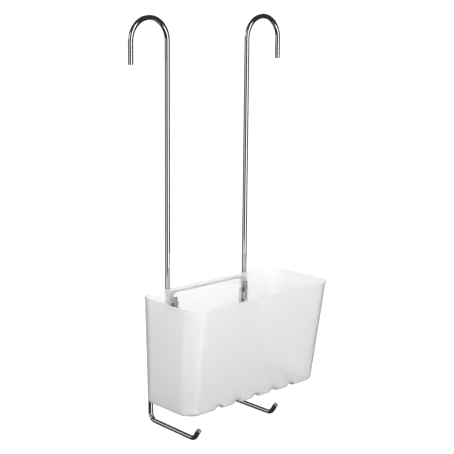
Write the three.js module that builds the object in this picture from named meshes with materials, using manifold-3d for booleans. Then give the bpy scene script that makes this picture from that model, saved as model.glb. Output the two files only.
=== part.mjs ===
// Shower caddy: a frosted plastic basket that hangs, and lifts off, a frame of bent chrome wire.
//
// Millimetres. +Z is up, X runs along the basket and -Y is the front. The origin lies midway
// between the two top hooks, in the plane of the upright rods, at the underside of the crowns:
// the top of the rail that the caddy hangs on.

import * as THREE from "three";
import { mergeVertices } from "three/addons/utils/BufferGeometryUtils.js";
import Module from "manifold-3d";

// Hanger rods
const ROD_DIAMETER = 6;
const ROD_SPACING = 125; // between the two uprights, centre to centre
const HOOK_PITCH = 52.5; // from the upright to the hook's free leg, centre to centre
const HOOK_LEG_LENGTH = 25; // straight part of the free leg
const JOGGLE_DEPTH = 32.5; // how far the rod steps back behind the basket
const JOGGLE_ANGLE = 45;
const JOGGLE_BEND_RADIUS = 20;
const JOGGLE_TOP_DROP = 35.5; // from the rim down to the start of the joggle
const ARM_DROP = 45; // from the underside of the basket to the lower arm
const ARM_BEND_RADIUS = 9;
const ARM_REACH = 50.2; // forward of the upright, to the corner where the tip turns up
const ARM_SPLAY = 1; // degrees outwards, away from the other arm
const TIP_ANGLE = 56; // above the horizontal
const TIP_LENGTH = 15.6;
const TIP_BEND_RADIUS = 9;

// Bracket
const BRACKET_DIAMETER = 4;
const BRACKET_CORNER_RADIUS = 6;
const BRACKET_DROP = 5; // from the rim down to the crossbar
const CATCH_PITCH = 8; // from the bracket's leg to its upturned end, centre to centre
const CATCH_DROP = 18; // from the crossbar to the bottom of the upturned end
const CATCH_RISE = 12.4; // from that bottom to the cut end

// Basket
const BASKET_HEIGHT = 128.4;
const BASKET_HANG = 311.2; // from the rail's top down to the rim
const RIM_LENGTH = 224;
const RIM_DEPTH = 103;
const RIM_CORNER_RADIUS = 22.5;
const BASE_LENGTH = 211;
const BASE_DEPTH = 84.4;
const BASE_CORNER_RADIUS = 18.7;
const BASE_FILLET = 4;
const WALL = 2;
const SLOT_WIDTH = 10;
const SLOT_HEIGHT = 17.9;
const SLOT_CORNER_RADIUS = 4.5;
const CHANNEL_COUNT = 5;
const CHANNEL_SPACING = 29.4;
const CHANNEL_RADIUS = 6.5;
const CHANNEL_DEPTH = 5.8;
const DRAIN_DIAMETER = 5;
const DRAIN_COLUMNS = 6;
const DRAIN_ROWS = [-32, -60]; // Y of each row of drain holes

// Gap left between pieces that touch
const GAP = 0.3;
const BASKET_GAP = 0.4; // between the rods and the basket's rear wall

// Fineness of the round stretches
const BEND_STEP = 11.25; // degrees, so that a half turn has a station at its crown
const WIRE_SIDES = 12;
const CORNER_SEGMENTS = 8;
const FILLET_SEGMENTS = 5;
const ROUND_SEGMENTS = 24;

const X = new THREE.Vector3(1, 0, 0);
const Y = new THREE.Vector3(0, 1, 0);
const UP = new THREE.Vector3(0, 0, 1);
const DOWN = new THREE.Vector3(0, 0, -1);

// Levels and places that follow from the driving dimensions
const rodRadius = ROD_DIAMETER / 2;
const bracketRadius = BRACKET_DIAMETER / 2;
const crownRadius = HOOK_PITCH / 2;
const crownZ = rodRadius - crownRadius;
const rimZ = -BASKET_HANG;
const baseZ = rimZ - BASKET_HEIGHT;
const armZ = baseZ - ARM_DROP;
const rearY = -(rodRadius + BASKET_GAP);
const bracketY = bracketRadius - rodRadius;
const legX = ROD_SPACING / 2 - Math.sqrt((rodRadius + bracketRadius + GAP) ** 2 - bracketY ** 2);
const crossbarZ = rimZ - BRACKET_DROP;
const catchRadius = CATCH_PITCH / 2;
const catchCentreY = bracketY - catchRadius;
const catchCentreZ = crossbarZ - CATCH_DROP + catchRadius;
const catchSeat = Math.sqrt((catchRadius - bracketRadius) ** 2 - (rearY - catchCentreY) ** 2);
const slotTopZ = catchCentreZ - catchSeat + GAP; // where the wall's rear face meets the catch
const channelAxisZ = baseZ + CHANNEL_DEPTH - CHANNEL_RADIUS;

const chrome = new THREE.MeshStandardMaterial({ color: 0xc8ccd0, roughness: 0.07, metalness: 1 });
const frostedPlastic = new THREE.MeshStandardMaterial({
  color: 0xe9ebea,
  roughness: 0.5,
  metalness: 0,
  transparent: true,
  opacity: 0.75,
});

const radians = THREE.MathUtils.degToRad;

// The centre line of a bent wire: straight stretches joined by round bends. It has a station only
// where the direction changes, so a long straight stretch is a single step.
class WirePath extends THREE.Curve {
  constructor(point, tangent) {
    super();
    this.stations = [{ point: point.clone(), tangent: tangent.clone() }];
  }

  straight(length) {
    const { point, tangent } = this.stations.at(-1);
    this.stations.push({ point: point.clone().addScaledVector(tangent, length), tangent });
    return this;
  }

  // Turns by an angle about an axis, right-handed, on a circle of the given radius.
  bend(axis, angle, radius) {
    const { point, tangent } = this.stations.at(-1);
    const inward = axis.clone().cross(tangent);
    const centre = point.clone().addScaledVector(inward, radius);
    const steps = Math.ceil(angle / BEND_STEP);
    for (let step = 1; step <= steps; step++) {
      const turn = (radians(angle) * step) / steps;
      const arm = inward.clone().applyAxisAngle(axis, turn).multiplyScalar(-radius);
      this.stations.push({
        point: arm.add(centre),
        tangent: tangent.clone().applyAxisAngle(axis, turn),
      });
    }
    return this;
  }

  station(u) {
    return this.stations[Math.round(u * (this.stations.length - 1))];
  }

  getPointAt(u, target = new THREE.Vector3()) {
    return target.copy(this.station(u).point);
  }

  getTangentAt(u, target = new THREE.Vector3()) {
    return target.copy(this.station(u).tangent);
  }
}

// A round wire along a path.
function wire(path, radius) {
  const section = new THREE.Shape().absarc(0, 0, radius, 0, 2 * Math.PI);
  return new THREE.ExtrudeGeometry(section, {
    extrudePath: path,
    steps: path.stations.length - 1,
    curveSegments: WIRE_SIDES / 2,
  });
}

// A hanger rod, from the top hook's free end to the lower hook's tip. Side is -1 for the left
// rod and 1 for the right one: the top hook turns outwards, away from the other rod.
function hangerRodGeometry(side) {
  const start = new THREE.Vector3(side * (ROD_SPACING / 2 + HOOK_PITCH), 0, crownZ - HOOK_LEG_LENGTH);
  const overCrown = Y.clone().multiplyScalar(-side);
  const backwards = X.clone();
  const forwards = X.clone().negate();
  const armForwards = forwards.clone().applyAxisAngle(UP, side * radians(ARM_SPLAY));
  const joggleTopZ = rimZ - JOGGLE_TOP_DROP;
  const bendDepth = 2 * JOGGLE_BEND_RADIUS * (1 - Math.cos(radians(JOGGLE_ANGLE)));
  const slope = (JOGGLE_DEPTH - bendDepth) / Math.sin(radians(JOGGLE_ANGLE));
  const joggleDrop =
    2 * JOGGLE_BEND_RADIUS * Math.sin(radians(JOGGLE_ANGLE)) + slope * Math.cos(radians(JOGGLE_ANGLE));
  const backLeg = joggleTopZ - joggleDrop - (armZ + ARM_BEND_RADIUS);
  const tipTangent = TIP_BEND_RADIUS * Math.tan(radians(TIP_ANGLE) / 2);
  const arm = JOGGLE_DEPTH + ARM_REACH - ARM_BEND_RADIUS - tipTangent;

  const path = new WirePath(start, UP)
    .straight(HOOK_LEG_LENGTH)
    .bend(overCrown, 180, crownRadius)
    .straight(crownZ - joggleTopZ)
    .bend(backwards, JOGGLE_ANGLE, JOGGLE_BEND_RADIUS)
    .straight(slope)
    .bend(forwards, JOGGLE_ANGLE, JOGGLE_BEND_RADIUS)
    .straight(backLeg)
    .bend(armForwards, 90, ARM_BEND_RADIUS)
    .straight(arm)
    .bend(armForwards, TIP_ANGLE, TIP_BEND_RADIUS)
    .straight(TIP_LENGTH - tipTangent);
  return wire(path, rodRadius);
}

// The bracket: a crossbar behind the basket's rear wall whose legs run down beside the rods and
// end in upturned catches that reach through the wall's slots.
function bracketGeometry() {
  const catchRise = CATCH_RISE - catchRadius;
  const leg = CATCH_DROP - BRACKET_CORNER_RADIUS - catchRadius;
  const start = new THREE.Vector3(-legX, bracketY - CATCH_PITCH, catchCentreZ + catchRise);

  const path = new WirePath(start, DOWN)
    .straight(catchRise)
    .bend(X, 180, catchRadius)
    .straight(leg)
    .bend(Y, 90, BRACKET_CORNER_RADIUS)
    .straight(2 * (legX - BRACKET_CORNER_RADIUS))
    .bend(Y, 90, BRACKET_CORNER_RADIUS)
    .straight(leg)
    .bend(X.clone().negate(), 180, catchRadius)
    .straight(catchRise);
  return wire(path, bracketRadius);
}

// The basket's outline at a height above its underside, moved inwards by an inset: a rectangle
// with round corners, upright at the rear, sloping at the front and the ends.
function outline(height, inset) {
  const rise = height / BASKET_HEIGHT;
  const halfLength = THREE.MathUtils.lerp(BASE_LENGTH, RIM_LENGTH, rise) / 2 - inset;
  const rear = rearY - inset;
  const front = rearY - THREE.MathUtils.lerp(BASE_DEPTH, RIM_DEPTH, rise) + inset;
  const radius = THREE.MathUtils.lerp(BASE_CORNER_RADIUS, RIM_CORNER_RADIUS, rise) - inset;

  const corners = [
    [halfLength - radius, rear - radius],
    [radius - halfLength, rear - radius],
    [radius - halfLength, front + radius],
    [halfLength - radius, front + radius],
  ];
  const points = [];
  corners.forEach(([x, y], quarter) => {
    for (let i = 0; i <= CORNER_SEGMENTS; i++) {
      const angle = (Math.PI / 2) * (quarter + i / CORNER_SEGMENTS);
      points.push([x + radius * Math.cos(angle), y + radius * Math.sin(angle), baseZ + height]);
    }
  });
  return points;
}

// The rings of a basket-shaped solid: a rounded bottom edge, then straight walls to a top level.
function basketRings(inset, top) {
  const rings = [];
  const fillet = BASE_FILLET - inset;
  for (let i = 0; i <= FILLET_SEGMENTS; i++) {
    const angle = (Math.PI / 2) * (i / FILLET_SEGMENTS);
    const height = inset + fillet * (1 - Math.sin(angle));
    rings.unshift(outline(height, inset + fillet * (1 - Math.cos(angle))));
  }
  rings.push(outline(top, inset));
  return rings;
}

// A closed solid through rings of points, lowest ring first.
function loft(rings) {
  const count = rings[0].length;
  const points = rings.flat();
  const faces = [];
  for (let level = 0; level < rings.length - 1; level++) {
    for (let i = 0; i < count; i++) {
      const next = (i + 1) % count;
      const [a, b] = [level * count + i, level * count + next];
      faces.push(a, b, b + count, a, b + count, a + count);
    }
  }
  const top = (rings.length - 1) * count;
  for (let i = 1; i < count - 1; i++) {
    faces.push(0, i + 1, i);
    faces.push(top, top + i, top + i + 1);
  }
  const geometry = new THREE.BufferGeometry();
  geometry.setAttribute("position", new THREE.Float32BufferAttribute(points.flat(), 3));
  geometry.setIndex(faces);
  return geometry;
}

const wasm = await Module();
wasm.setup();

// The solid that a closed three.js geometry bounds.
function solid(geometry) {
  const bare = geometry.clone();
  bare.deleteAttribute("normal");
  bare.deleteAttribute("uv");
  const merged = mergeVertices(bare, 1e-4);
  return new wasm.Manifold(
    new wasm.Mesh({
      numProp: 3,
      vertProperties: Float32Array.from(merged.attributes.position.array),
      triVerts: Uint32Array.from(merged.index.array),
    }),
  );
}

// The three.js geometry of a solid.
function geometryOf(body) {
  const { vertProperties, triVerts } = body.getMesh();
  const geometry = new THREE.BufferGeometry();
  geometry.setAttribute("position", new THREE.BufferAttribute(vertProperties, 3));
  geometry.setIndex(new THREE.BufferAttribute(triVerts, 1));
  geometry.computeVertexNormals();
  return geometry;
}

// A bar of the given radius along Y through the basket's underside, one for each channel.
function channelBars(radius) {
  const length = 2 * RIM_DEPTH;
  return Array.from({ length: CHANNEL_COUNT }, (_, i) => {
    const x = (i - (CHANNEL_COUNT - 1) / 2) * CHANNEL_SPACING;
    const bar = new THREE.CylinderGeometry(radius, radius, length, ROUND_SEGMENTS);
    return solid(bar.translate(x, rearY - RIM_DEPTH / 2, channelAxisZ));
  });
}

// The cutter for the slot that a catch reaches through.
function slotCutter(x) {
  const right = SLOT_WIDTH / 2;
  const radius = SLOT_CORNER_RADIUS;
  const shape = new THREE.Shape()
    .absarc(right - radius, -radius, radius, 0, Math.PI / 2)
    .absarc(radius - right, -radius, radius, Math.PI / 2, Math.PI)
    .absarc(radius - right, radius - SLOT_HEIGHT, radius, Math.PI, 1.5 * Math.PI)
    .absarc(right - radius, radius - SLOT_HEIGHT, radius, 1.5 * Math.PI, 2 * Math.PI);
  const depth = 4 * WALL;
  const cutter = new THREE.ExtrudeGeometry(shape, { depth, bevelEnabled: false, curveSegments: 4 });
  return solid(cutter.rotateX(Math.PI / 2).translate(x, rearY + WALL, slotTopZ));
}

// The cutters for the drain holes, in the flats between the channels and outside them.
function drainCutters() {
  const cutters = [];
  for (let column = 0; column < DRAIN_COLUMNS; column++) {
    const x = (column - (DRAIN_COLUMNS - 1) / 2) * CHANNEL_SPACING;
    for (const y of DRAIN_ROWS) {
      const radius = DRAIN_DIAMETER / 2;
      const hole = new THREE.CylinderGeometry(radius, radius, 4 * WALL, WIRE_SIDES);
      cutters.push(solid(hole.rotateX(Math.PI / 2).translate(x, y, baseZ)));
    }
  }
  return cutters;
}

// The basket: one moulded shell with channels pressed up into its base, two slots in its rear
// wall and drain holes in its floor.
function basketGeometry() {
  let cavity = solid(loft(basketRings(WALL, BASKET_HEIGHT + WALL)));
  let basket = solid(loft(basketRings(0, BASKET_HEIGHT)));
  for (const ridge of channelBars(CHANNEL_RADIUS + WALL)) {
    cavity = cavity.subtract(ridge);
  }
  const cutters = [
    cavity,
    ...channelBars(CHANNEL_RADIUS),
    slotCutter(-legX),
    slotCutter(legX),
    ...drainCutters(),
  ];
  for (const cutter of cutters) {
    basket = basket.subtract(cutter);
  }
  return geometryOf(basket);
}

function piece(name, geometry, material) {
  const mesh = new THREE.Mesh(geometry, material);
  mesh.name = name;
  return mesh;
}

const frame = new THREE.Group();
frame.add(
  piece("left_hanger_rod", hangerRodGeometry(-1), chrome),
  piece("right_hanger_rod", hangerRodGeometry(1), chrome),
  piece("basket_bracket", bracketGeometry(), chrome),
);

const caddy = new THREE.Group();
caddy.add(frame, piece("basket", basketGeometry(), frostedPlastic));

export default caddy;
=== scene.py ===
"""Shower caddy: a frosted plastic basket that lifts off a hanger of bent chrome wire."""
import math

import bpy
from mathutils import Matrix, Quaternion, Vector


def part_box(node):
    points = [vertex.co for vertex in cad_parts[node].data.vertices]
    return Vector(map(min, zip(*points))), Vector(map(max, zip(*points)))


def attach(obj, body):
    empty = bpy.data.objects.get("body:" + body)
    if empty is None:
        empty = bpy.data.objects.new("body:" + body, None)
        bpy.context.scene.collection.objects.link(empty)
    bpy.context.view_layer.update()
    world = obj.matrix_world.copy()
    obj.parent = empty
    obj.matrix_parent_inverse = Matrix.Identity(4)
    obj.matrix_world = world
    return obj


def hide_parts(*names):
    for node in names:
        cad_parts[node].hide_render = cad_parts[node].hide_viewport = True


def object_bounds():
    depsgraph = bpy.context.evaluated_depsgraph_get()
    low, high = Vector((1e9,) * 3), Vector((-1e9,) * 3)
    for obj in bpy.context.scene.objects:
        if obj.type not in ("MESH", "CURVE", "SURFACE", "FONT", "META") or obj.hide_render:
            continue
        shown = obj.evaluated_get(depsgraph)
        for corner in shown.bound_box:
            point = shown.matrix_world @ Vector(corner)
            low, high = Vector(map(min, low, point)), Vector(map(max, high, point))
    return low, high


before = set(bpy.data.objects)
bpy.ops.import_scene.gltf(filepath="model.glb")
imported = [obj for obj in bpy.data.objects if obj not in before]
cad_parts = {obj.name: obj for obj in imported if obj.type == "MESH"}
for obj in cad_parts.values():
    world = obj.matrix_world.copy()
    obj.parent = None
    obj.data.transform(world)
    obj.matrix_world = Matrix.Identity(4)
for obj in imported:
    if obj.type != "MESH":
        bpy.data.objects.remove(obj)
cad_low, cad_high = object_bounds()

MM = 0.001

X = Vector((1, 0, 0))
Y = Vector((0, 1, 0))
Z = Vector((0, 0, 1))

# ---------------------------------------------------------------------------------------------
# Camera
# ---------------------------------------------------------------------------------------------

CAMERA_PLACE = (-0.89022, -0.98720, 0.03304)
CAMERA_YAW = 43.067  # degrees, turned from +Y towards +X
CAMERA_PITCH = 11.864  # degrees, downwards
CAMERA_ROLL = 0.556  # degrees
CAMERA_LENS = 89.30  # millimetres
CAMERA_SENSOR = 36.0


def add_camera():
    yaw, pitch, roll = (math.radians(a) for a in (CAMERA_YAW, CAMERA_PITCH, CAMERA_ROLL))
    forward = Vector(
        (math.sin(yaw) * math.cos(pitch), math.cos(yaw) * math.cos(pitch), -math.sin(pitch))
    )
    level = Vector((math.cos(yaw), -math.sin(yaw), 0))
    upright = level.cross(forward)
    right = level * math.cos(roll) + upright * math.sin(roll)
    up = upright * math.cos(roll) - level * math.sin(roll)

    data = bpy.data.cameras.new("camera")
    data.sensor_width = CAMERA_SENSOR
    data.lens = CAMERA_LENS
    data.clip_start = 0.01
    data.clip_end = 100
    camera = bpy.data.objects.new("camera", data)
    camera.matrix_world = Matrix.Translation(CAMERA_PLACE) @ (
        Matrix((right, up, -forward)).transposed().to_4x4()
    )
    bpy.context.scene.collection.objects.link(camera)
    bpy.context.scene.camera = camera


# ---------------------------------------------------------------------------------------------
# Meshes
# ---------------------------------------------------------------------------------------------


def mesh_object(name, vertices, faces, material, smooth_angle=40):
    """A mesh with smooth shading, broken where it turns by more than an angle in degrees."""
    mesh = bpy.data.meshes.new(name)
    mesh.from_pydata([tuple(v) for v in vertices], [], faces)
    mesh.validate()
    mesh.shade_smooth()
    mesh.set_sharp_from_angle(angle=math.radians(smooth_angle))
    mesh.materials.append(material)
    piece = bpy.data.objects.new(name, mesh)
    bpy.context.scene.collection.objects.link(piece)
    return piece


def lerp(a, b, share):
    return a + (b - a) * share


def graded(breaks, step):
    """Values from the first break to the last that hit every break, at most a step apart."""
    values = [breaks[0]]
    for start, end in zip(breaks, breaks[1:]):
        count = max(1, math.ceil((end - start) / step - 1e-6))
        values += [lerp(start, end, i / count) for i in range(1, count + 1)]
    return values


# ---------------------------------------------------------------------------------------------
# Basket
# ---------------------------------------------------------------------------------------------

basket_low, basket_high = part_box("basket")

RIM_LENGTH = basket_high.x - basket_low.x
RIM_DEPTH = basket_high.y - basket_low.y
RIM_CORNER_RADIUS = 22.5 * MM
END_TAPER = 6.5 * MM  # of each end wall, from rim to base
FRONT_TAPER = 18.6 * MM  # of the front wall; the rear wall is upright
BASE_LENGTH = RIM_LENGTH - 2 * END_TAPER
BASE_DEPTH = RIM_DEPTH - FRONT_TAPER
BASE_CORNER_RADIUS = 18.7 * MM
BASE_FILLET = 4 * MM
BASKET_HEIGHT = basket_high.z - basket_low.z
REAR_Y = basket_high.y
BASE_Z = basket_low.z
WALL = 2 * MM

LIP_HEIGHT = 3 * MM
LIP_PROUD = 0.6 * MM
LIP_ROUNDING = 0.9 * MM
LIP_STEPS = 5
# (height in lip depths from the lip's underside, inset in lip depths) of the step under the lip.
LIP_STEP = ((-0.35, 1.0), (0.0, 0.7), (0.35, 0.15), (1.0, 0.0))

CHANNEL_COUNT = 5
CHANNEL_SPACING = 29.4 * MM
CHANNEL_RADIUS = 6.5 * MM
CHANNEL_DEPTH = 5.8 * MM
CHANNEL_BLEND = 0.5 * MM  # softness of the edges of the channels
CHANNEL_REACH = CHANNEL_RADIUS + 3 * WALL  # the height up to which a channel lifts the mesh
CHANNEL_TURNS = (0, 11, 22, 33, 44, 54, 63, 72, 80.4)  # degrees from the crown, for mesh lines
CHANNEL_FLANKS = (0.35, 0.7, 1.0)  # shares of the way from there to the outside of the ridge

SLOT_WIDTH = 10 * MM
SLOT_HEIGHT = 17.9 * MM
SLOT_CORNER_RADIUS = 4.5 * MM
SLOT_TOP = 108.5 * MM  # above the base
SLOT_X = 57.3 * MM  # in line with the catches

DRAIN_RADIUS = 2.5 * MM
DRAIN_COLUMNS = 6
DRAIN_ROWS = (-60 * MM, -32 * MM)

HOLE_ROUNDING = 0.4 * MM
HOLE_MARGIN = 1.9 * MM  # of plain mesh round each hole

CORNER_STEPS = 16
FILLET_STEPS = 8
WALL_STEP = 4 * MM
FLOOR_STEP = 2.2 * MM
LINE_GAP = 0.2 * MM  # mesh lines nearer than this are merged
FLOOR_RING_SHARES = (1 / 3, 2 / 3)  # rings between the floor grid and the bottom fillet


def channel_centres():
    first = -(CHANNEL_COUNT - 1) / 2
    return [(first + i) * CHANNEL_SPACING for i in range(CHANNEL_COUNT)]


def drain_centres():
    first = -(DRAIN_COLUMNS - 1) / 2
    return [(first + i) * CHANNEL_SPACING for i in range(DRAIN_COLUMNS)]


def channel_lift(x, height, radius):
    """A height near the base, raised to the crown of the channel that it lies in."""
    axis = CHANNEL_DEPTH - CHANNEL_RADIUS
    away = min(abs(x - centre) for centre in channel_centres())
    if away >= radius:
        return height
    crown = axis + math.sqrt(radius * radius - away * away)
    middle = (height + crown) / 2
    return middle + math.sqrt(((height - crown) / 2) ** 2 + CHANNEL_BLEND**2 / 4)


class Plan:
    """The basket's outline at every height: where its straight stretches and corners lie."""

    def __init__(self, x_shares, y_shares):
        self.x_shares = x_shares  # -1 to 1 along the front and the rear
        self.y_shares = y_shares  # 0 to 1 from front to rear

    def core(self, height):
        """The rectangle of the corners' centres and the corners' radius."""
        rise = height / BASKET_HEIGHT
        radius = lerp(BASE_CORNER_RADIUS, RIM_CORNER_RADIUS, rise)
        half = lerp(BASE_LENGTH, RIM_LENGTH, rise) / 2 - radius
        front = REAR_Y - lerp(BASE_DEPTH, RIM_DEPTH, rise) + radius
        return half, front, REAR_Y - radius, radius

    def ring(self, height, inset):
        half, front, rear, radius = self.core(height)
        reach = radius - inset

        def corner(x, y, quarter):
            turns = [(quarter + i / CORNER_STEPS) * math.pi / 2 for i in range(1, CORNER_STEPS)]
            return [(x + reach * math.cos(t), y + reach * math.sin(t)) for t in turns]

        points = [(u * half, front - reach) for u in self.x_shares]
        points += corner(half, front, -1)
        points += [(half + reach, lerp(front, rear, v)) for v in self.y_shares]
        points += corner(half, rear, 0)
        points += [(u * half, rear + reach) for u in reversed(self.x_shares)]
        points += corner(-half, rear, 1)
        points += [(-half - reach, lerp(front, rear, v)) for v in reversed(self.y_shares)]
        points += corner(-half, front, 2)
        return [Vector((x, y, height)) for x, y in points]

    def floor(self, height):
        """The grid between the corners' centres, as rows of points from front to rear."""
        half, front, rear, _ = self.core(height)
        return [
            [Vector((u * half, lerp(front, rear, v), height)) for u in self.x_shares]
            for v in self.y_shares
        ]

    def floor_edge(self):
        """For each column of a ring, the (row, column) of the floor grid that it runs into."""
        last_x, last_y = len(self.x_shares) - 1, len(self.y_shares) - 1
        inner = CORNER_STEPS - 1
        edge = [(0, i) for i in range(last_x + 1)]
        edge += [(0, last_x)] * inner
        edge += [(j, last_x) for j in range(last_y + 1)]
        edge += [(last_y, last_x)] * inner
        edge += [(last_y, i) for i in range(last_x, -1, -1)]
        edge += [(last_y, 0)] * inner
        edge += [(j, 0) for j in range(last_y, -1, -1)]
        edge += [(0, 0)] * inner
        return edge


def make_plan():
    """The plan whose lines follow the channels and frame the slots and the drain holes."""
    half = BASE_LENGTH / 2 - BASE_CORNER_RADIUS
    depth = BASE_DEPTH - 2 * BASE_CORNER_RADIUS
    front = REAR_Y - BASE_DEPTH + BASE_CORNER_RADIUS
    ridge = CHANNEL_RADIUS + WALL
    offsets = [CHANNEL_RADIUS * math.sin(math.radians(turn)) for turn in CHANNEL_TURNS]
    offsets += [lerp(offsets[-1], ridge, share) for share in CHANNEL_FLANKS]

    breaks = {0.0, half, -half}
    for centre in channel_centres():
        breaks |= {centre + sign * offset for offset in offsets for sign in (-1, 1)}
    for centre in drain_centres():
        margin = DRAIN_RADIUS + HOLE_MARGIN
        breaks |= {centre - margin, centre + margin}
    breaks = sorted(b for b in breaks if abs(b) <= half + 1e-9)
    lines = [breaks[0]]
    for value in breaks[1:]:
        if value - lines[-1] > LINE_GAP:
            lines.append(value)
    x_lines = graded(lines, FLOOR_STEP)

    y_breaks = [front]
    for row in DRAIN_ROWS:
        y_breaks += [row - DRAIN_RADIUS - HOLE_MARGIN, row + DRAIN_RADIUS + HOLE_MARGIN]
    y_breaks.append(front + depth)
    y_lines = graded(sorted(y_breaks), FLOOR_STEP)
    return Plan([x / half for x in x_lines], [(y - front) / depth for y in y_lines])


def wall_heights():
    """The levels of the straight wall, with lines above and below the slots."""
    below = SLOT_TOP - SLOT_HEIGHT - HOLE_MARGIN
    above = SLOT_TOP + HOLE_MARGIN
    crown = CHANNEL_DEPTH + WALL
    levels = [BASE_FILLET, crown, below, above, BASKET_HEIGHT - LIP_HEIGHT - LIP_PROUD]
    return graded(levels, WALL_STEP)


def shell_profile(inner):
    """(height, inset) of each ring of one face of the shell, from the floor to the lip."""
    skin = WALL if inner else 0.0
    fillet = BASE_FILLET - skin
    profile = [
        (skin, lerp(BASE_CORNER_RADIUS, BASE_FILLET, share)) for share in FLOOR_RING_SHARES
    ]
    for i in range(FILLET_STEPS + 1):
        turn = math.pi / 2 * (1 - i / FILLET_STEPS)
        profile.append((skin + fillet * (1 - math.sin(turn)), skin + fillet * (1 - math.cos(turn))))
    for height in wall_heights()[1:]:
        profile.append((height, skin + LIP_PROUD * height / BASKET_HEIGHT))
    return profile


def lip_profile():
    """(height, inset) over the lip, from the outer wall to the inner one."""
    top = BASKET_HEIGHT
    under = top - LIP_HEIGHT
    inside = WALL + LIP_PROUD
    outer_round = [
        (top - LIP_ROUNDING * (1 - math.sin(t)), LIP_ROUNDING * (1 - math.cos(t)))
        for t in (math.pi / 2 * i / LIP_STEPS for i in range(LIP_STEPS + 1))
    ]
    inner_round = [(height, inside - inset) for height, inset in reversed(outer_round)]
    step = [(under + LIP_PROUD * rise, LIP_PROUD * inset) for rise, inset in LIP_STEP]
    return step + outer_round + inner_round + [(under, inside)]


class Shell:
    """Vertices and faces of the basket, gathered ring by ring."""

    def __init__(self, plan):
        self.plan = plan
        self.vertices = []
        self.faces = []

    def add(self, points):
        first = len(self.vertices)
        self.vertices += points
        return list(range(first, len(self.vertices)))

    def strip(self, low, high, skip=()):
        """Faces between two rings, facing outwards when the second lies above the first."""
        count = len(low)
        for i in range(count):
            if i in skip:
                continue
            j = (i + 1) % count
            corners = [low[i], low[j], high[j], high[i]]
            unique = list(dict.fromkeys(corners))
            if len(unique) > 2:
                self.faces.append(unique)

    def patch(self, grid, skip):
        """Faces of a grid of rows, facing down, without the cells named in skip."""
        for row in range(len(grid) - 1):
            for column in range(len(grid[0]) - 1):
                if (row, column) not in skip:
                    self.faces.append(
                        [
                            grid[row][column],
                            grid[row + 1][column],
                            grid[row + 1][column + 1],
                            grid[row][column + 1],
                        ]
                    )

    def flip_from(self, first):
        self.faces[first:] = [face[::-1] for face in self.faces[first:]]


def rounded_point(a, b, half_a, half_b, radius):
    """The point of a rounded rectangle, centred on zero, that lies nearest to (a, b)."""
    core_a = max(-(half_a - radius), min(half_a - radius, a))
    core_b = max(-(half_b - radius), min(half_b - radius, b))
    away = math.hypot(a - core_a, b - core_b)
    return core_a + radius * (a - core_a) / away, core_b + radius * (b - core_b) / away


class Hole:
    """A rounded hole through a flat wall. The axes span the wall; into points to its inside."""

    def __init__(self, centre, axis_a, axis_b, into, half_a, half_b, radius):
        self.centre, self.axis_a, self.axis_b, self.into = centre, axis_a, axis_b, into
        self.half_a, self.half_b, self.radius = half_a, half_b, radius

    def loop(self, around, growth, depth):
        points = []
        for place in around:
            a = (place - self.centre).dot(self.axis_a)
            b = (place - self.centre).dot(self.axis_b)
            a, b = rounded_point(
                a, b, self.half_a + growth, self.half_b + growth, self.radius + growth
            )
            points.append(self.centre + a * self.axis_a + b * self.axis_b + depth * self.into)
        return points

    def pierce(self, shell, outer, inner, outer_depth, inner_depth):
        """Joins the two boundary loops of a gap in the shell with the hole's rounded wall."""
        edge = HOLE_ROUNDING
        soft = edge * (1 - math.sqrt(0.5))
        thickness = inner_depth - outer_depth
        levels = [(edge, 0), (soft, soft), (0, edge)]
        levels += [(growth, thickness - depth) for growth, depth in reversed(levels)]
        around = [shell.vertices[i] for i in outer]
        loops = [outer]
        for growth, depth in levels:
            loops.append(shell.add(self.loop(around, growth, outer_depth + depth)))
        loops.append(inner)
        for first, second in zip(loops, loops[1:]):
            shell.strip(first, second)


def block_loop(grid, rows, columns):
    """The vertices round a block of grid cells, in order."""
    (top, bottom), (left, right) = rows, columns
    loop = [grid[top][c] for c in range(left, right)]
    loop += [grid[r][right] for r in range(top, bottom)]
    loop += [grid[bottom][c] for c in range(right, left, -1)]
    loop += [grid[r][left] for r in range(bottom, top, -1)]
    return loop


def nearest(values, target):
    return min(range(len(values)), key=lambda i: abs(values[i] - target))


def drain_blocks(plan):
    """For each drain hole, its centre and the rows and columns of the floor cells it takes."""
    half, front, rear, _ = plan.core(0)
    x_lines = [u * half for u in plan.x_shares]
    y_lines = [lerp(front, rear, v) for v in plan.y_shares]
    margin = DRAIN_RADIUS + HOLE_MARGIN
    blocks = []
    for x in drain_centres():
        for y in DRAIN_ROWS:
            rows = (nearest(y_lines, y - margin), nearest(y_lines, y + margin))
            columns = (nearest(x_lines, x - margin), nearest(x_lines, x + margin))
            blocks.append(((x, y), rows, columns))
    return blocks


def slot_blocks(plan, heights):
    """For each slot, its centre, the rings it spans and the rear columns it takes."""
    half = plan.core(SLOT_TOP)[0]
    lines = [u * half for u in plan.x_shares]
    margin = SLOT_WIDTH / 2 + HOLE_MARGIN
    rings = (
        nearest(heights, SLOT_TOP - SLOT_HEIGHT - HOLE_MARGIN),
        nearest(heights, SLOT_TOP + HOLE_MARGIN),
    )
    blocks = []
    for x in (-SLOT_X, SLOT_X):
        columns = (nearest(lines, x - margin), nearest(lines, x + margin))
        blocks.append((x, rings, columns))
    return blocks


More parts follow.
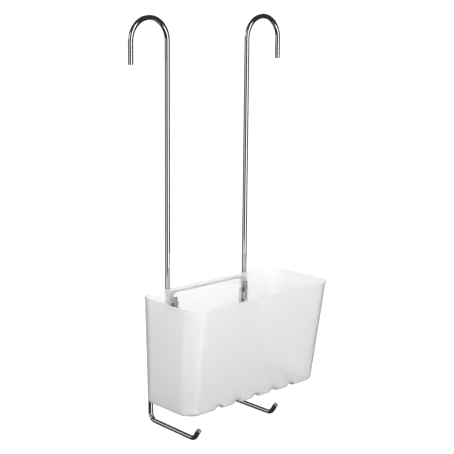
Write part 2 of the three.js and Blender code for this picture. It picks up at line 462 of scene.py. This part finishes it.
def basket_face(shell, inner):
    """One face of the shell. Returns its rings and the loops round its drain holes and slots."""
    plan = shell.plan
    first_face = len(shell.faces)
    radius = CHANNEL_RADIUS + (WALL if inner else 0.0)
    profile = shell_profile(inner)
    heights = [height for height, _ in profile]

    def lifted(points):
        for point in points:
            if point.z < CHANNEL_REACH:
                point.z = channel_lift(point.x, point.z, radius)
        return points

    rings = [shell.add(lifted(plan.ring(height, inset))) for height, inset in profile]
    grid = [shell.add(lifted(row)) for row in plan.floor(WALL if inner else 0.0)]

    drains = drain_blocks(plan)
    skip = set()
    for _, rows, columns in drains:
        skip |= {(r, c) for r in range(*rows) for c in range(*columns)}
    shell.patch(grid, skip)
    edge = [grid[row][column] for row, column in plan.floor_edge()]
    shell.strip(edge, rings[0])

    slots = slot_blocks(plan, heights)
    rear_start = len(plan.x_shares) + len(plan.y_shares) + 2 * (CORNER_STEPS - 1)
    rear_last = rear_start + len(plan.x_shares) - 1
    for level in range(len(rings) - 1):
        skip = set()
        for _, (low, high), (left, right) in slots:
            if low <= level < high:
                skip |= set(range(rear_last - right, rear_last - left))
        shell.strip(rings[level], rings[level + 1], skip)
    if inner:
        shell.flip_from(first_face)

    rear_grid = [[ring[rear_last - c] for c in range(len(plan.x_shares))] for ring in rings]
    drain_loops = [block_loop(grid, rows, columns) for _, rows, columns in drains]
    slot_loops = [block_loop(rear_grid, rows, columns) for _, rows, columns in slots]
    return rings, drain_loops, slot_loops


def slot_hole(x):
    centre = Vector((x, REAR_Y, SLOT_TOP - SLOT_HEIGHT / 2))
    return Hole(centre, X, Z, -Y, SLOT_WIDTH / 2, SLOT_HEIGHT / 2, SLOT_CORNER_RADIUS)


def drain_hole(x, y):
    return Hole(Vector((x, y, 0)), X, Y, Z, DRAIN_RADIUS, DRAIN_RADIUS, DRAIN_RADIUS)


def basket_mesh():
    shell = Shell(make_plan())
    outer, outer_drains, outer_slots = basket_face(shell, inner=False)
    inner, inner_drains, inner_slots = basket_face(shell, inner=True)

    loops = [outer[-1]]
    loops += [shell.add(shell.plan.ring(height, inset)) for height, inset in lip_profile()]
    loops.append(inner[-1])
    for low, high in zip(loops, loops[1:]):
        shell.strip(low, high)

    drains = [centre for centre, _, _ in drain_blocks(shell.plan)]
    for (x, y), outside, inside in zip(drains, outer_drains, inner_drains):
        drain_hole(x, y).pierce(shell, outside, inside, 0.0, WALL)
    slot_inset = LIP_PROUD * (SLOT_TOP - SLOT_HEIGHT / 2) / BASKET_HEIGHT
    for x, outside, inside in zip((-SLOT_X, SLOT_X), outer_slots, inner_slots):
        slot_hole(x).pierce(shell, outside, inside, slot_inset, slot_inset + WALL)

    vertices = [v + Vector((0, 0, BASE_Z)) for v in shell.vertices]
    return vertices, shell.faces


def make_basket(material):
    vertices, faces = basket_mesh()
    basket = mesh_object("frosted_basket", vertices, faces, material, smooth_angle=50)
    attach(basket, "lift_off_basket")
    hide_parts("basket")


# ---------------------------------------------------------------------------------------------
# Bent wire
# ---------------------------------------------------------------------------------------------

BEND_STEP = 3.75  # degrees
STRAIGHT_STEP = 12 * MM
WIRE_SIDES = 40
END_CHAMFER = 0.35 * MM


class WirePath:
    """The centre line of a bent wire, with a side direction that never twists."""

    def __init__(self, start, tangent, side):
        self.points = [Vector(start)]
        self.tangents = [Vector(tangent)]
        self.sides = [Vector(side)]

    def put(self, point, tangent, side):
        self.points.append(point)
        self.tangents.append(tangent)
        self.sides.append(side)

    def straight(self, length):
        start, tangent, side = self.points[-1], self.tangents[-1], self.sides[-1]
        count = max(1, round(length / STRAIGHT_STEP))
        for i in range(1, count + 1):
            self.put(start + tangent * (length * i / count), tangent, side)
        return self

    def bend(self, axis, angle, radius):
        """Turns by an angle in degrees about an axis, right-handed, on a circle."""
        start, tangent, side = self.points[-1], self.tangents[-1], self.sides[-1]
        inward = axis.cross(tangent)
        centre = start + inward * radius
        count = math.ceil(angle / BEND_STEP)
        for i in range(1, count + 1):
            turn = Quaternion(axis, math.radians(angle) * i / count)
            self.put(centre - turn @ inward * radius, turn @ tangent, turn @ side)
        return self

    def rings(self, radius):
        """(point, tangent, side, radius, length along the wire) with a chamfer at each end."""
        stations = list(zip(self.points, self.tangents, self.sides))
        first, last = stations[0], stations[-1]
        rows = [(first[0], *first[1:], radius - END_CHAMFER)]
        rows.append((first[0] + first[1] * END_CHAMFER, *first[1:], radius))
        rows += [(*station, radius) for station in stations[1:-1]]
        rows.append((last[0] - last[1] * END_CHAMFER, *last[1:], radius))
        rows.append((last[0], *last[1:], radius - END_CHAMFER))
        return rows


def wire_mesh(path, radius):
    rings = path.rings(radius)
    vertices, faces = [], []
    for point, tangent, side, reach in rings:
        across = tangent.cross(side)
        for i in range(WIRE_SIDES):
            turn = 2 * math.pi * i / WIRE_SIDES
            vertices.append(point + (side * math.cos(turn) + across * math.sin(turn)) * reach)
    for row in range(len(rings) - 1):
        for i in range(WIRE_SIDES):
            j = (i + 1) % WIRE_SIDES
            a, b = row * WIRE_SIDES + i, row * WIRE_SIDES + j
            faces.append([a, b, b + WIRE_SIDES, a + WIRE_SIDES])
    last = (len(rings) - 1) * WIRE_SIDES
    faces.append(list(range(WIRE_SIDES))[::-1])
    faces.append(list(range(last, last + WIRE_SIDES)))
    return vertices, faces


ROD_RADIUS = 3 * MM
HOOK_PITCH = 52.5 * MM
HOOK_LEG_LENGTH = 25 * MM
JOGGLE_ANGLE = 45
JOGGLE_BEND_RADIUS = 20 * MM
JOGGLE_TOP_DROP = 35.5 * MM
ARM_BEND_RADIUS = 9 * MM
ARM_REACH = 50.2 * MM
ARM_SPLAY = 1
TIP_ANGLE = 56
TIP_LENGTH = 15.6 * MM
TIP_BEND_RADIUS = 9 * MM

BRACKET_RADIUS = 2 * MM
BRACKET_CORNER_RADIUS = 6 * MM
CATCH_PITCH = 8 * MM
CATCH_RISE = 12.4 * MM

rod_low, rod_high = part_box("right_hanger_rod")
bracket_low, bracket_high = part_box("basket_bracket")

HOOK_X = rod_high.x - ROD_RADIUS
ROD_X = HOOK_X - HOOK_PITCH
CROWN_RADIUS = HOOK_PITCH / 2
CROWN_Z = rod_high.z - ROD_RADIUS - CROWN_RADIUS
ARM_Z = rod_low.z + ROD_RADIUS
JOGGLE_DEPTH = rod_high.y - ROD_RADIUS
RIM_Z = basket_high.z

LEG_X = bracket_high.x - BRACKET_RADIUS
LEG_Y = bracket_high.y - BRACKET_RADIUS
CROSSBAR_Z = bracket_high.z - BRACKET_RADIUS
CATCH_BOTTOM_Z = bracket_low.z + BRACKET_RADIUS


def hanger_rod_path(side):
    """From the top hook's free end to the lower hook's tip. Side is -1 for the left rod."""
    over_crown = -side * Y
    arm_forwards = Quaternion(Z, side * math.radians(ARM_SPLAY)) @ -X
    angle = math.radians(JOGGLE_ANGLE)
    joggle_top = RIM_Z - JOGGLE_TOP_DROP
    slope = (JOGGLE_DEPTH - 2 * JOGGLE_BEND_RADIUS * (1 - math.cos(angle))) / math.sin(angle)
    joggle_drop = 2 * JOGGLE_BEND_RADIUS * math.sin(angle) + slope * math.cos(angle)
    back_leg = joggle_top - joggle_drop - (ARM_Z + ARM_BEND_RADIUS)
    tip_tangent = TIP_BEND_RADIUS * math.tan(math.radians(TIP_ANGLE) / 2)
    start = Vector((side * HOOK_X, 0, CROWN_Z - HOOK_LEG_LENGTH))
    return (
        WirePath(start, Z, X)
        .straight(HOOK_LEG_LENGTH)
        .bend(over_crown, 180, CROWN_RADIUS)
        .straight(CROWN_Z - joggle_top)
        .bend(X, JOGGLE_ANGLE, JOGGLE_BEND_RADIUS)
        .straight(slope)
        .bend(-X, JOGGLE_ANGLE, JOGGLE_BEND_RADIUS)
        .straight(back_leg)
        .bend(arm_forwards, 90, ARM_BEND_RADIUS)
        .straight(JOGGLE_DEPTH + ARM_REACH - ARM_BEND_RADIUS - tip_tangent)
        .bend(arm_forwards, TIP_ANGLE, TIP_BEND_RADIUS)
        .straight(TIP_LENGTH - tip_tangent)
    )


def bracket_path():
    """From one catch's cut end, down and up the leg, along the crossbar and mirrored."""
    turn = CATCH_PITCH / 2
    rise = CATCH_RISE - turn
    leg = CROSSBAR_Z - CATCH_BOTTOM_Z - BRACKET_CORNER_RADIUS - turn
    start = Vector((-LEG_X, LEG_Y - CATCH_PITCH, CATCH_BOTTOM_Z + CATCH_RISE))
    return (
        WirePath(start, -Z, X)
        .straight(rise)
        .bend(X, 180, turn)
        .straight(leg)
        .bend(Y, 90, BRACKET_CORNER_RADIUS)
        .straight(2 * (LEG_X - BRACKET_CORNER_RADIUS))
        .bend(Y, 90, BRACKET_CORNER_RADIUS)
        .straight(leg)
        .bend(-X, 180, turn)
        .straight(rise)
    )


def make_wire(name, path, radius, node, material):
    vertices, faces = wire_mesh(path, radius)
    piece = mesh_object(name, vertices, faces, material, smooth_angle=35)
    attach(piece, "hanger_frame")
    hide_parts(node)


# ---------------------------------------------------------------------------------------------
# Welds between the bracket's legs and the rods
# ---------------------------------------------------------------------------------------------

WELD_LENGTH = 8 * MM
WELD_HALF_WIDTH = 1.5 * MM
WELD_HALF_DEPTH = 1.1 * MM
WELD_OFFSET = 1.1 * MM  # of the bead's middle from the line where the wires touch
WELD_RIPPLES = 7
WELD_RIPPLE_SHARE = 0.05
WELD_TAPER_POWER = 3
WELD_END_SHARE = 0.05  # of the bead's width, left at its ends
WELD_ROWS = 40
WELD_SIDES = 24


def weld_mesh(side, face):
    """A rippled bead in the groove between a leg and a rod, at the rear or the front."""
    rod = Vector((side * ROD_X, 0, 0))
    leg = Vector((side * LEG_X, LEG_Y, 0))
    across = (leg - rod).normalized()
    outwards = Vector((-across.y, across.x, 0)) * (face * -side)
    gap_middle = rod + across * (ROD_RADIUS + ((leg - rod).length - ROD_RADIUS - BRACKET_RADIUS) / 2)
    middle_z = (CROSSBAR_Z - BRACKET_CORNER_RADIUS + CATCH_BOTTOM_Z + CATCH_PITCH / 2) / 2
    centre = gap_middle + outwards * WELD_OFFSET + Z * middle_z

    vertices, faces = [], []
    for row in range(WELD_ROWS + 1):
        share = -1 + 2 * row / WELD_ROWS
        taper = max(math.sqrt(1 - abs(share) ** WELD_TAPER_POWER), WELD_END_SHARE)
        ripple = 1 + WELD_RIPPLE_SHARE * math.cos(WELD_RIPPLES * math.pi * share)
        for i in range(WELD_SIDES):
            turn = 2 * math.pi * i / WELD_SIDES
            reach = across * (WELD_HALF_WIDTH * math.cos(turn))
            reach += outwards * (WELD_HALF_DEPTH * math.sin(turn))
            vertices.append(centre + Z * (share * WELD_LENGTH / 2) + reach * taper * ripple)
    for row in range(WELD_ROWS):
        for i in range(WELD_SIDES):
            j = (i + 1) % WELD_SIDES
            a, b = row * WELD_SIDES + i, row * WELD_SIDES + j
            faces.append([a, b, b + WELD_SIDES, a + WELD_SIDES])
    last = WELD_ROWS * WELD_SIDES
    faces.append(list(range(WELD_SIDES))[::-1])
    faces.append(list(range(last, last + WELD_SIDES)))
    if (across.cross(outwards)).z < 0:
        faces = [f[::-1] for f in faces]
    return vertices, faces


def make_welds(material):
    for side, side_name in ((-1, "left"), (1, "right")):
        for face, face_name in ((-1, "front"), (1, "rear")):
            vertices, faces = weld_mesh(side, face)
            weld = mesh_object(f"{side_name}_{face_name}_weld", vertices, faces, material)
            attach(weld, "hanger_frame")


# ---------------------------------------------------------------------------------------------
# Materials
# ---------------------------------------------------------------------------------------------


class Nodes:
    """A short way to write a node tree."""

    def __init__(self, tree):
        self.tree = tree
        tree.nodes.clear()

    def add(self, kind, inputs=None, **settings):
        node = self.tree.nodes.new(kind)
        for name, value in settings.items():
            setattr(node, name, value)
        for name, value in (inputs or {}).items():
            if isinstance(value, bpy.types.NodeSocket):
                self.tree.links.new(value, node.inputs[name])
            else:
                node.inputs[name].default_value = value
        return node

    def ramp(self, factor, stops):
        node = self.add("ShaderNodeValToRGB", {"Fac": factor})
        elements = node.color_ramp.elements
        while len(elements) < len(stops):
            elements.new(0.5)
        for element, (place, level) in zip(elements, stops):
            element.position = place
            element.color = (*level, 1) if isinstance(level, tuple) else (level, level, level, 1)
        return node.outputs["Color"]

    def noise(self, coordinates, scale, detail=3.0, roughness=0.5):
        return self.add(
            "ShaderNodeTexNoise",
            {"Vector": coordinates, "Scale": scale, "Detail": detail, "Roughness": roughness},
        ).outputs["Fac"]

    def span(self, value, low, high):
        """A 0 to 1 value, spread over low to high."""
        spread = self.add("ShaderNodeMapRange", {"Value": value, "To Min": low, "To Max": high})
        return spread.outputs["Result"]


def new_material(name):
    material = bpy.data.materials.new(name)
    material.use_nodes = True
    return material, Nodes(material.node_tree)


def frosted_plastic():
    """Translucent milky plastic with a fine spark-eroded satin face."""
    material, nodes = new_material("frosted_plastic")
    place = nodes.add("ShaderNodeTexCoord").outputs["Object"]
    cloud = nodes.noise(place, 18, detail=2)
    grain = nodes.noise(place, 2600, detail=2, roughness=0.6)
    ripple = nodes.noise(place, 60, detail=3)
    colour = nodes.ramp(cloud, [(0.3, (0.955, 0.958, 0.956)), (0.7, (0.97, 0.972, 0.97))])
    roughness = nodes.span(ripple, 0.27, 0.33)
    satin = nodes.add(
        "ShaderNodeBump", {"Height": grain, "Strength": 0.12, "Distance": 0.02 * MM}
    ).outputs["Normal"]
    moulded = nodes.add(
        "ShaderNodeBump",
        {"Height": ripple, "Strength": 0.25, "Distance": 0.15 * MM, "Normal": satin},
    ).outputs["Normal"]
    surface = nodes.add(
        "ShaderNodeBsdfPrincipled",
        {
            "Base Color": colour,
            "Roughness": roughness,
            "IOR": 1.49,
            "Transmission Weight": 0.74,
            "Coat Weight": 1.0,
            "Coat Roughness": 0.38,
            "Coat IOR": 1.6,
            "Subsurface Weight": 1.0,
            "Subsurface Radius": (1.0, 1.0, 0.95),
            "Subsurface Scale": 3 * MM,
            "Normal": moulded,
        },
    )
    body = nodes.add("ShaderNodeVolumeAbsorption", {"Color": (0.5, 0.5, 0.5, 1), "Density": 45.0})
    nodes.add(
        "ShaderNodeOutputMaterial",
        {"Surface": surface.outputs["BSDF"], "Volume": body.outputs["Volume"]},
    )
    return material


def chrome(name, base, low_roughness, high_roughness):
    """Bright plating over drawn wire, with faint smears and fine polishing marks."""
    material, nodes = new_material(name)
    place = nodes.add("ShaderNodeTexCoord").outputs["Object"]
    smears = nodes.noise(place, 45, detail=4, roughness=0.6)
    marks = nodes.noise(place, 900, detail=2)
    colour = nodes.ramp(smears, [(0.35, tuple(c * 0.95 for c in base)), (0.7, base)])
    roughness = nodes.span(smears, low_roughness, high_roughness)
    polish = nodes.add(
        "ShaderNodeBump", {"Height": marks, "Strength": 0.02, "Distance": 0.004 * MM}
    ).outputs["Normal"]
    surface = nodes.add(
        "ShaderNodeBsdfPrincipled",
        {"Base Color": colour, "Metallic": 1.0, "Roughness": roughness, "Normal": polish},
    )
    nodes.add("ShaderNodeOutputMaterial", {"Surface": surface.outputs["BSDF"]})
    return material


def floor_paper():
    material, nodes = new_material("floor_paper")
    place = nodes.add("ShaderNodeTexCoord").outputs["Object"]
    fibres = nodes.noise(place, 40)
    colour = nodes.ramp(fibres, [(0.3, FLOOR_SHADES[0]), (0.7, FLOOR_SHADES[1])])
    surface = nodes.add("ShaderNodeBsdfPrincipled", {"Base Color": colour, "Roughness": 0.9})
    nodes.add("ShaderNodeOutputMaterial", {"Surface": surface.outputs["BSDF"]})
    return material


# ---------------------------------------------------------------------------------------------
# Studio
# ---------------------------------------------------------------------------------------------

FLOOR_DROP = 0.12  # below the lower hooks
FLOOR_HALF = 30.0
FLOOR_SHADES = (0.53, 0.55)
WHITE = (1, 1, 1, 1)
BACKGROUND = 1.06  # what the camera sees behind the caddy
AMBIENT_DARK = 1.0
AMBIENT_BRIGHT = 2.88
KEY_DIRECTION = (0.5, -0.72, 0.5)  # the way to the brighter side of the room

# What is seen mirrored: (compass and half width, elevation and half height in degrees,
# brightness). The compass is 0 towards +X and 90 towards +Y.
PANELS = {
    "backdrop": (48, 6, 0, 40, 1.3),
    "key": (267, 9, 0, 36, 3.1),
    "fill": (173, 10, 8, 23, 1.3),
    "side": (131, 14, 12, 5, 1.6),
}
PANEL_SOFTNESS = 3  # degrees
ROOM_DARK = 0.04  # between the panels


def add_floor():
    z = cad_low.z - FLOOR_DROP
    corners = [(-1, -1), (1, -1), (1, 1), (-1, 1)]
    vertices = [(x * FLOOR_HALF, y * FLOOR_HALF, z) for x, y in corners]
    floor = mesh_object("floor", vertices, [[0, 1, 2, 3]], floor_paper())
    floor.visible_glossy = False


def panel_light(nodes, way, rise):
    """The brightness of the studio's panels in a direction whose upward part is rise."""
    flat = nodes.add("ShaderNodeVectorMath", {0: way, 1: (1, 1, 0)}, operation="MULTIPLY")
    level = nodes.add("ShaderNodeVectorMath", {0: flat.outputs[0]}, operation="NORMALIZE").outputs[0]
    total = ROOM_DARK
    for compass, half_width, elevation, half_height, brightness in PANELS.values():
        turn = math.radians(compass)
        middle = (math.cos(turn), math.sin(turn), 0)
        facing = nodes.add("ShaderNodeVectorMath", {0: level, 1: middle}, operation="DOT_PRODUCT")
        across = nodes.add(
            "ShaderNodeMapRange",
            {
                "Value": facing.outputs["Value"],
                "From Min": math.cos(math.radians(half_width + PANEL_SOFTNESS)),
                "From Max": math.cos(math.radians(half_width)),
            },
        ).outputs["Result"]
        above = nodes.add(
            "ShaderNodeMath", {0: rise, 1: math.sin(math.radians(elevation))}, operation="SUBTRACT"
        ).outputs[0]
        away = nodes.add("ShaderNodeMath", {0: above}, operation="ABSOLUTE").outputs[0]
        along = nodes.add(
            "ShaderNodeMapRange",
            {
                "Value": away,
                "From Min": math.sin(math.radians(half_height + PANEL_SOFTNESS)),
                "From Max": math.sin(math.radians(half_height)),
                "To Max": brightness,
            },
        ).outputs["Result"]
        total = nodes.add(
            "ShaderNodeMath", {0: across, 1: along, 2: total}, operation="MULTIPLY_ADD"
        ).outputs[0]
    return total


def add_world():
    """Soft white light all round. Light that has been mirrored comes from the panels instead."""
    world = bpy.data.worlds.new("studio")
    world.use_nodes = True
    bpy.context.scene.world = world
    nodes = Nodes(world.node_tree)
    way = nodes.add("ShaderNodeTexCoord").outputs["Generated"]
    parts = nodes.add("ShaderNodeSeparateXYZ", {"Vector": way}).outputs

    key = Vector(KEY_DIRECTION).normalized()
    facing = nodes.add("ShaderNodeVectorMath", {0: way, 1: key}, operation="DOT_PRODUCT")
    ambient = nodes.add(
        "ShaderNodeMapRange",
        {
            "Value": facing.outputs["Value"],
            "From Min": -1.0,
            "From Max": 1.0,
            "To Min": AMBIENT_DARK,
            "To Max": AMBIENT_BRIGHT,
        },
    ).outputs["Result"]
    soft = nodes.add("ShaderNodeBackground", {"Color": WHITE, "Strength": ambient})
    brightness = panel_light(nodes, way, parts["Z"])
    panels = nodes.add("ShaderNodeBackground", {"Color": WHITE, "Strength": brightness})

    rays = nodes.add("ShaderNodeLightPath").outputs
    backdrop = nodes.add("ShaderNodeBackground", {"Color": WHITE, "Strength": BACKGROUND})
    mirrored = nodes.add(
        "ShaderNodeMath", {0: rays["Glossy Depth"], 1: 1.0}, operation="MINIMUM"
    ).outputs[0]
    undiffused = nodes.add(
        "ShaderNodeMath", {0: 1.0, 1: rays["Is Diffuse Ray"]}, operation="SUBTRACT"
    ).outputs[0]
    reflected = nodes.add(
        "ShaderNodeMath", {0: mirrored, 1: undiffused}, operation="MULTIPLY"
    ).outputs[0]
    lit = nodes.add(
        "ShaderNodeMixShader", {"Fac": reflected, 1: soft.outputs[0], 2: panels.outputs[0]}
    )
    seen = nodes.add(
        "ShaderNodeMixShader", {"Fac": rays["Is Camera Ray"], 1: lit.outputs[0], 2: backdrop.outputs[0]}
    )
    nodes.add("ShaderNodeOutputWorld", {"Surface": seen.outputs[0]})


def set_view():
    view = bpy.context.scene.view_settings
    view.view_transform = "Standard"
    view.look = "None"


PLATING = (0.72, 0.73, 0.74)
# Painted shade: the bracket wire is the same chrome as the rods, darkened to stand in for the shade it
# lies in behind and inside the basket's walls.
SHADED_BRACKET_PLATING = (0.5, 0.51, 0.52)


def main():
    add_camera()
    set_view()
    add_world()
    add_floor()
    plating = chrome("chrome_plating", PLATING, 0.01, 0.03)
    # The bracket's plating is the rods' chrome with painted shade in its colour.
    shaded_bracket_plating = chrome("shaded_bracket_plating", SHADED_BRACKET_PLATING, 0.02, 0.05)
    weld_plating = chrome("weld_plating", PLATING, 0.12, 0.25)
    make_wire("left_rod", hanger_rod_path(-1), ROD_RADIUS, "left_hanger_rod", plating)
    make_wire("right_rod", hanger_rod_path(1), ROD_RADIUS, "right_hanger_rod", plating)
    make_wire("bracket_wire", bracket_path(), BRACKET_RADIUS, "basket_bracket", shaded_bracket_plating)
    make_welds(weld_plating)
    make_basket(frosted_plastic())


main()
